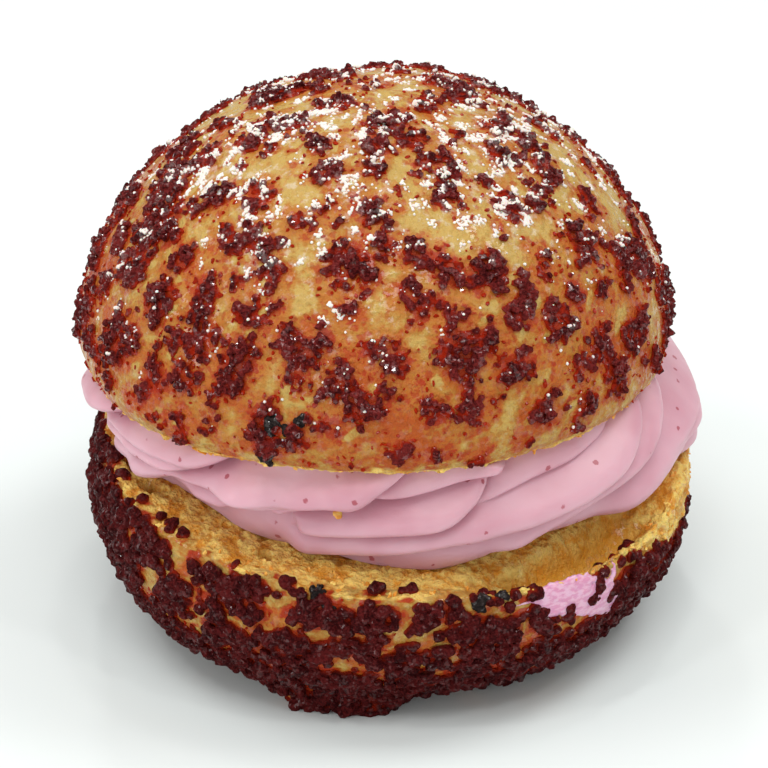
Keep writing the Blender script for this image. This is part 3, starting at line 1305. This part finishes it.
def flakes_shape(graph, inputs):
    """Flat, bent little solids, scattered where the skin is torn."""
    torn = graph.node("GeometryNodeInputNamedAttribute", {"data_type": "FLOAT"}, {"Name": "torn"})
    scatter = {"Mesh": inputs["Geometry"], "Distance Min": 0.35 * MM, "Density Max": inputs["Density"]}
    scatter.update({"Density Factor": torn, "Seed": 21})
    points = graph.node("GeometryNodeDistributePointsOnFaces", {"distribute_method": "POISSON"}, scatter)
    flake = graph.node("GeometryNodeMeshIcoSphere", None, {"Radius": inputs["Flake"], "Subdivisions": 2})
    place = graph.node("GeometryNodeInputPosition")
    uneven = graph.cloud(place + (0.01, 0.02, 0.03), 0.5 * MM, output="Color") - (0.5, 0.5, 0.5)
    flake = graph.node("GeometryNodeSetPosition", None, {"Geometry": flake, "Offset": uneven * (1.2 * MM)})
    either = {"data_type": "FLOAT_VECTOR"}
    size = {0: (0.5, 0.5, 0.25), 1: (1.5, 1.2, 0.7), "Seed": 6}
    size = graph.node("FunctionNodeRandomValue", either, size)
    turn = graph.node("FunctionNodeRandomValue", either, {0: (0, 0, 0), 1: (6.3, 6.3, 6.3), "Seed": 7})
    drop = {"Points": points, "Instance": flake, "Scale": size, "Rotation": turn}
    return graph.node("GeometryNodeInstanceOnPoints", None, drop)


def crumb_values(piece):
    """The attribute crumb of a skin as an array."""
    values = np.empty(len(piece.data.vertices), np.float32)
    piece.data.attributes["crumb"].data.foreach_get("value", values)
    return values


def torn_share(piece, low, high, least):
    """Most in the middle of the ragged border between skin and crumb, between two heights."""
    places, normals = vertex_places(piece)
    crumb = crumb_values(piece)
    border = smooth(1 - np.abs(crumb - 0.6) / 0.4)
    inside = (places[:, 2] > low) & (places[:, 2] < high)
    inside &= np.hypot(places[:, 0] - AXIS.x, places[:, 1] - AXIS.y) > 33 * MM
    return np.where(inside, np.maximum(border, least * (crumb > 0.9)), 0)


CREAM_CRUMBS = [(-40.5, 30.7), (-101, 30.5), (140, 27.0), (31, 25.0)]
bread = finish("bread", bread_finish)
store(lid_skin, "torn", torn_share(lid_skin, 33 * MM, 42 * MM, 0.3))
store(bun_skin, "torn", torn_share(bun_skin, 14 * MM, 30 * MM, 0.12))
flakes_tree = geometry_tree("flakes", {"Density": 0.9e6, "Flake": 0.33 * MM}, flakes_shape)
lid_flakes = grown("lid_flakes", lid_skin, flakes_tree, bread)
bun_flakes = grown("bun_flakes", bun_skin, flakes_tree, bread)
report(lid_flakes)
report(bun_flakes)

cream_surface = surface_of([cream])
dropped = [on_surface(cream_surface, angle, height * MM) for angle, height in CREAM_CRUMBS]
dropped_host = point_cloud("dropped_host", [point for point in dropped if point])
dropped_crumbs = grown("dropped_crumbs", dropped_host, burnt_tree, bread)
report(dropped_crumbs)

# %% [markdown]
# ## Icing sugar
# Sugar falls from above and stays where it lands, in patches, on the skin and on the crumble alike. Each
# grain is a tiny solid with twenty faces, and patches come from a fine noise that opens and shuts the
# scatter.


# %% Sugar tree
def sugar_shape(graph, inputs):
    """Grains of sugar on every face that looks up, caked together in patches."""
    place = graph.node("GeometryNodeInputPosition")
    normal = graph.node("GeometryNodeInputNormal")
    upward = graph.ease(graph.node("ShaderNodeSeparateXYZ", None, {"Vector": normal}, output="Z"), 0.1, 0.8)
    patch = sugar_patch(graph, place)
    singles = graph.ease(patch, 0.3, 0.6) * 0.006
    scatter = {
        "Mesh": inputs["Geometry"],
        "Distance Min": inputs["Grain"],
        "Density Max": inputs["Density"],
        "Density Factor": upward * (graph.ease(patch, 0.745, 0.78) + singles),
        "Seed": inputs["Seed"],
    }
    points = graph.node("GeometryNodeDistributePointsOnFaces", {"distribute_method": "POISSON"}, scatter)
    size = graph.node("FunctionNodeRandomValue", {"data_type": "FLOAT"}, {2: 0.8, 3: 1.6, "Seed": 2}, output=1)
    caked = melted(graph, points, size * inputs["Grain"], inputs["Grain"] * 0.75)
    return graph.node("GeometryNodeSetShadeSmooth", None, {"Geometry": caked})


def joined(name, pieces):
    """One mesh with the surfaces of several pieces, as a host for a tree."""
    shape = bmesh.new()
    for piece in pieces:
        shape.from_mesh(piece.data)
    mesh = bpy.data.meshes.new(name)
    shape.to_mesh(mesh)
    shape.free()
    host = bpy.data.objects.new(name, mesh)
    bpy.context.scene.collection.objects.link(host)
    return host


sugar_tree = geometry_tree("icing_sugar", {"Grain": 0.15 * MM, "Density": 5.0e7, "Seed": 11}, sugar_shape)
sugar_host = joined("sugar_host", [lid_skin, lid_crumble, bun_skin, bun_crumble])
sugar = grown("icing_sugar", sugar_host, sugar_tree, sugar_white, keep=0.4)
report(sugar)

# %% [markdown]
# ## Finish
# The hosts go, every piece rides on the one body, and each skin stands for its solid.

# %% Ride, replace and finish
for host in (lid_copy, bun_copy, cream_host, burnt_host, lump_host, smear_host, dropped_host, sugar_host):
    bpy.data.objects.remove(host)

for piece, slot in (
    (lid_skin, "top_crust"),
    (lid_crumble, "top_crust"),
    (bun_skin, "bottom_crust"),
    (bun_crumble, "bottom_crust"),
    (cream, "berry_cream"),
    (lid_strays, "top_crust"),
    (bun_strays, "bottom_crust"),
    (lump, "bottom_crust"),
    (burnt, "top_crust"),
    (smear, "berry_cream"),
    (lid_flakes, "top_crust"),
    (bun_flakes, "bottom_crust"),
    (dropped_crumbs, "berry_cream"),
    (sugar, "top_crust"),
):
    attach(piece, "root")

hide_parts("top_bun")
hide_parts("bottom_bun")
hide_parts("cream_filling")

boxes = {"cad": cad_box, "visual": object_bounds()}
boxes = {name: [[float(side) for side in corner] for corner in box] for name, box in boxes.items()}
print("boxes:", boxes)
